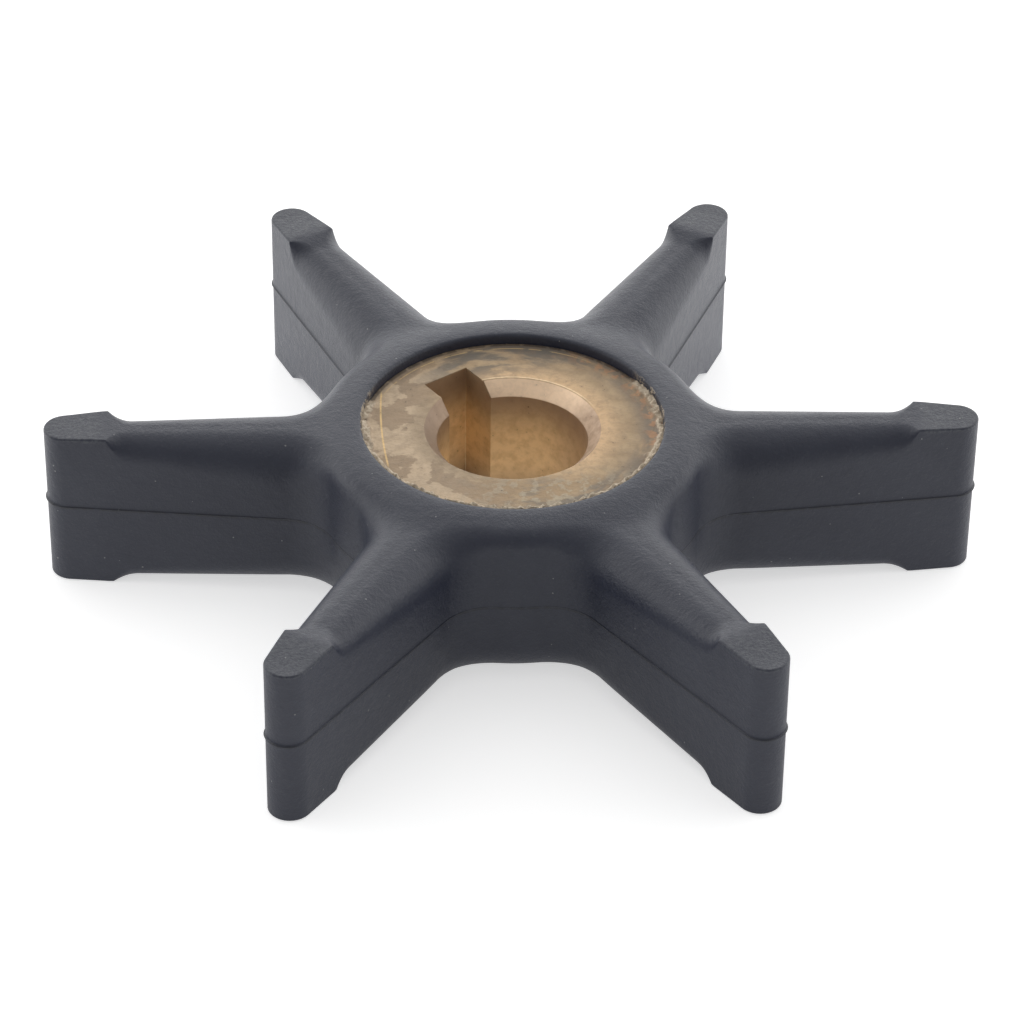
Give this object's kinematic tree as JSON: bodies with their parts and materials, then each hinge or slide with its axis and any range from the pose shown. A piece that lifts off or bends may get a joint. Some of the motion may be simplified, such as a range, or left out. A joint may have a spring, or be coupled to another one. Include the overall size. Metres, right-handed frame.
{
  "type": "pump impeller",
  "caption": "Flexible rubber pump impeller with thick-tipped radial vanes bonded round a keyed brass hub.",
  "frame": {"origin": "on the bore axis, in the plane of the rubber hub's underside", "axes": "+Z along the bore axis, up; +X along the centre of one vane"},
  "size_m": [0.0682, 0.0594, 0.0129],
  "materials": {
    "rubber": "semi-matte moulded charcoal rubber",
    "brass": "turned and tarnished, with pale bonding residue at the rim"
  },
  "bodies": {
    "root": {"rubber_vanes": "rubber", "brass_hub": "brass"}
  },
  "joints": []
}
